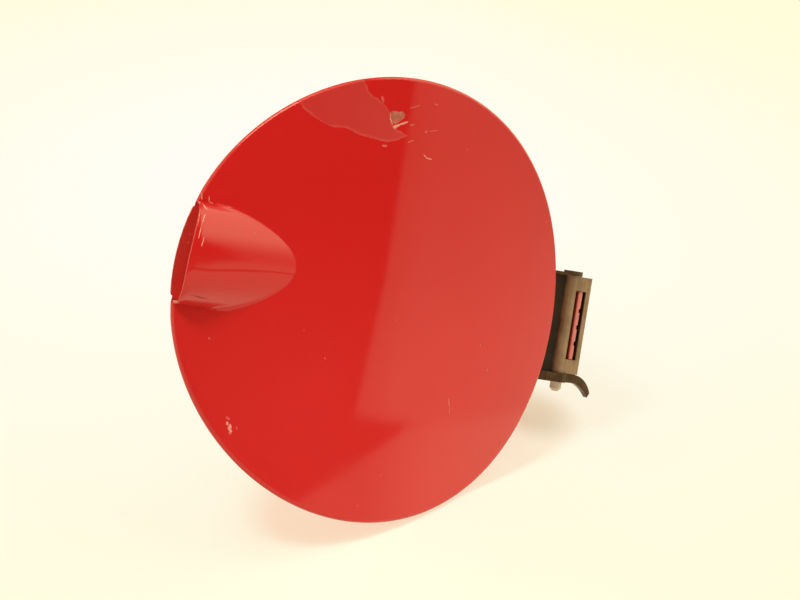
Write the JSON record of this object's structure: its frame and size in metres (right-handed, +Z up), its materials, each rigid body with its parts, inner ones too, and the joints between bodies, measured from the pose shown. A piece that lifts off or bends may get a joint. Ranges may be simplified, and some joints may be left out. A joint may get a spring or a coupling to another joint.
{
  "type": "car fuel door",
  "caption": "Round crowned sheet-metal car fuel door with a raised finger grip at its free edge and a gooseneck arm on a moulded pin hinge bracket.",
  "frame": {"origin": "middle of the hinge bracket's mounting face, between its two screw holes", "axes": "+Z up along the hinge pin, the closed door faces -Y, the hinge is at the door's +X side and +Y points into the car"},
  "size_m": [0.1895, 0.046, 0.16],
  "materials": {
    "red_paint": "glossy clear-coated paint",
    "black_plastic": "satin moulded",
    "pin_steel": "drawn wire",
    "nylon": "natural moulded",
    "buffer_rubber": "moulded rubber"
  },
  "bodies": {
    "bracket": {"hinge_bracket": "black_plastic", "hinge_pin": "pin_steel", "pin_cap": "nylon"},
    "door": {"outer_skin": "red_paint", "inner_panel": "red_paint", "hinge_arm": "red_paint", "hinge_block": "black_plastic", "lock_catch": "black_plastic", "cap_holder": "black_plastic", "upper_buffer": "buffer_rubber", "lower_buffer": "buffer_rubber"}
  },
  "joints": [
    {"name": "door_swing", "type": "hinge", "parent": "bracket", "child": "door", "pos_m": [0.0075, -0.024, 0], "axis": [0, 0, 1], "range_deg": [0, 100]}
  ]
}
